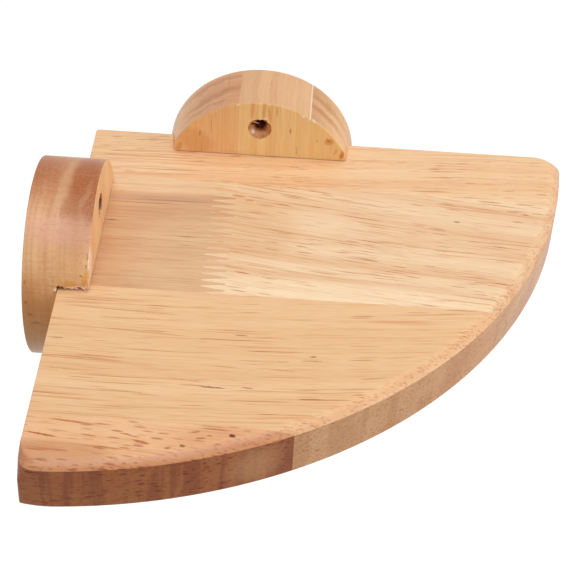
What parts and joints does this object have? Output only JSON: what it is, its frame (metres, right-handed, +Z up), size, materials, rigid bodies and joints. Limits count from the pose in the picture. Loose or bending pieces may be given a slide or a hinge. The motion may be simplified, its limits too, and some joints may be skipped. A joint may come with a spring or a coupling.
{
  "type": "corner wall shelf",
  "caption": "Small quarter-round wooden corner shelf, edge-glued from staves and carried in the slots of two round wooden discs that screw to the walls.",
  "frame": {"origin": "the room corner, where the back wall and the side wall meet, at the height of the shelf's top surface", "axes": "+Z up; +X along the back wall, away from the corner; -Y along the side wall, out into the room; the back wall is the plane Y = 0 and the side wall is the plane X = 0"},
  "size_m": [0.2133, 0.2131, 0.08],
  "materials": {
    "board_wood": "satin oil over pale honey rubberwood",
    "disc_wood": "satin oil over golden-orange rubberwood",
    "zinc_screw": "bright zinc plate"
  },
  "bodies": {
    "root": {"board_stave_1": "board_wood", "board_stave_2_left": "board_wood", "board_stave_2_right": "board_wood", "board_stave_3": "board_wood", "board_stave_4": "board_wood", "back_disc_left_stave": "disc_wood", "back_disc_middle_stave": "disc_wood", "back_disc_right_stave": "disc_wood", "back_disc_screw": "zinc_screw", "side_disc_left_stave": "disc_wood", "side_disc_middle_stave": "disc_wood", "side_disc_right_stave": "disc_wood", "side_disc_screw": "zinc_screw"}
  },
  "joints": []
}
